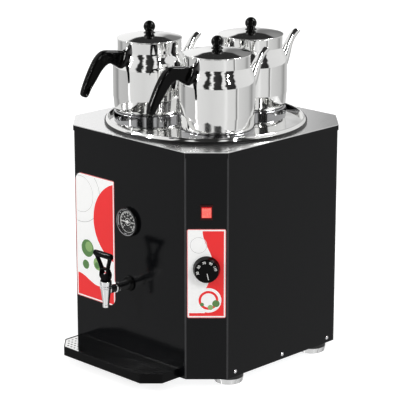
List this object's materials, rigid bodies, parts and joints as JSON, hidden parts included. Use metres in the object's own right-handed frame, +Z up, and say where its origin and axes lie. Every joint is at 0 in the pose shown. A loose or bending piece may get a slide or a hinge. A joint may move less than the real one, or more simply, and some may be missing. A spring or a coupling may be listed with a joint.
{
  "type": "hot water urn",
  "caption": "Square black hot water urn with cut corners, a lever tap over a drip tray, a dial thermometer and teapots seated on its round tank lid.",
  "frame": {"origin": "on the surface the feet stand on, under the middle of the cabinet", "axes": "+Z up, -Y out of the front with the tap, +X to the right seen from the front"},
  "size_m": [0.4552, 0.5697, 0.7025],
  "materials": {
    "gloss_black": "gloss enamel",
    "pan_steel": "zinc coated",
    "satin_steel": "satin",
    "polished_steel": "mirror polished",
    "tank_steel": "mill",
    "screw_steel": "bright",
    "brass": "bright",
    "mineral_wool": "felted",
    "ceramic": "glazed",
    "terminal_plastic": "matt",
    "black_plastic": "matt",
    "knob_plastic": "semi gloss",
    "red_lens": "translucent",
    "label_vinyl": "printed gloss",
    "meter_case": "gloss",
    "dial_print": "printed",
    "meter_glass": "clear",
    "needle_white": "white enamel",
    "tap_chrome": "polished",
    "tap_black": "gloss",
    "seat_rubber": "silicone",
    "tray_black": "gloss",
    "bakelite": "polished"
  },
  "bodies": {
    "cabinet": {"casing_wrap": "gloss_black", "rear_panel": "gloss_black", "base_pan": "pan_steel", "top_frame": "gloss_black", "top_plate": "satin_steel", "tank": "tank_steel", "insulation_jacket": "mineral_wool", "heating_element": "tank_steel", "element_nuts": "brass", "limit_thermostat": "ceramic", "terminal_block": "terminal_plastic", "cable_gland": "black_plastic", "casing_screws": "screw_steel", "feet": "polished_steel", "foot_bolts": "screw_steel", "thermostat_body": "ceramic", "thermostat_bulb": "brass", "switch_housing": "knob_plastic", "control_label": "label_vinyl", "front_label": "label_vinyl", "thermometer_case": "meter_case", "thermometer_dial": "dial_print", "thermometer_glass": "meter_glass", "tap_shank": "tap_chrome", "tap_locknut": "brass", "tap_flange": "tap_chrome", "tap_body": "tap_chrome", "tap_bonnet": "tap_black", "tap_lever_pin": "screw_steel", "tray_arms": "pan_steel"},
    "knob": {"thermostat_knob": "knob_plastic", "thermostat_shaft": "brass"},
    "rocker": {"switch_rocker": "red_lens"},
    "needle": {"thermometer_needle": "needle_white"},
    "lever": {"tap_lever": "tap_black"},
    "stem": {"tap_stem": "screw_steel", "tap_seat_cup": "seat_rubber"},
    "lid_tray": {"tank_lid": "polished_steel", "seat_collars": "polished_steel"},
    "tray": {"drip_tray": "tray_black"},
    "grid": {"drip_grid": "satin_steel"},
    "pot_front": {"pot_front_body": "polished_steel", "pot_front_spout": "polished_steel", "pot_front_bracket": "polished_steel", "pot_front_handle": "bakelite"},
    "pot_front_cover": {"pot_front_lid": "polished_steel", "pot_front_lid_knob": "bakelite"},
    "pot_back": {"pot_back_body": "polished_steel", "pot_back_spout": "polished_steel", "pot_back_bracket": "polished_steel", "pot_back_handle": "bakelite"},
    "pot_back_cover": {"pot_back_lid": "polished_steel", "pot_back_lid_knob": "bakelite"},
    "pot_left": {"pot_left_body": "polished_steel", "pot_left_spout": "polished_steel", "pot_left_bracket": "polished_steel", "pot_left_handle": "bakelite"},
    "pot_left_cover": {"pot_left_lid": "polished_steel", "pot_left_lid_knob": "bakelite"}
  },
  "joints": [
    {"name": "lever_tip", "type": "hinge", "parent": "cabinet", "child": "lever", "pos_m": [0, -0.291, 0.219], "axis": [1, 0, 0], "range_deg": [0, 30], "stiffness_Nm_per_rad": 0.4, "springref_deg": -11.46},
    {"name": "stem_lift", "type": "slide", "parent": "cabinet", "child": "stem", "axis": [0, 0, 1], "range_m": [0, 0.003]},
    {"name": "knob_turn", "type": "hinge", "parent": "cabinet", "child": "knob", "pos_m": [0.195, -0.195, 0.2565], "axis": [0.7071, -0.7071, 0], "range_deg": [-270, 0]},
    {"name": "rocker_tilt", "type": "hinge", "parent": "cabinet", "child": "rocker", "pos_m": [0.195, -0.195, 0.3745], "axis": [0.7071, 0.7071, 0], "range_deg": [0, 20]},
    {"name": "needle_swing", "type": "hinge", "parent": "cabinet", "child": "needle", "pos_m": [0, -0.228, 0.321], "axis": [0, 1, 0], "range_deg": [-45, 225], "stiffness_Nm_per_rad": 0.0005},
    {"name": "lid_tray_lift", "type": "slide", "parent": "cabinet", "child": "lid_tray", "axis": [0, 0, 1], "range_m": [0, 0.1]},
    {"name": "pot_front_lift", "type": "slide", "parent": "lid_tray", "child": "pot_front", "axis": [0, 0, 1], "range_m": [0, 0.15]},
    {"name": "pot_front_cover_lift", "type": "slide", "parent": "pot_front", "child": "pot_front_cover", "axis": [0, 0, 1], "range_m": [0, 0.06]},
    {"name": "pot_back_lift", "type": "slide", "parent": "lid_tray", "child": "pot_back", "axis": [0, 0, 1], "range_m": [0, 0.15]},
    {"name": "pot_back_cover_lift", "type": "slide", "parent": "pot_back", "child": "pot_back_cover", "axis": [0, 0, 1], "range_m": [0, 0.06]},
    {"name": "pot_left_lift", "type": "slide", "parent": "lid_tray", "child": "pot_left", "axis": [0, 0, 1], "range_m": [0, 0.15]},
    {"name": "pot_left_cover_lift", "type": "slide", "parent": "pot_left", "child": "pot_left_cover", "axis": [0, 0, 1], "range_m": [0, 0.06]},
    {"name": "tray_pull", "type": "slide", "parent": "cabinet", "child": "tray", "axis": [0, -1, 0], "range_m": [0, 0.09]},
    {"name": "grid_lift", "type": "slide", "parent": "tray", "child": "grid", "axis": [0, 0, 1], "range_m": [0, 0.05]}
  ],
  "couplings": [
    {"joint": "stem_lift", "follows": "lever_tip", "m_per_rad": 0.0057}
  ]
}
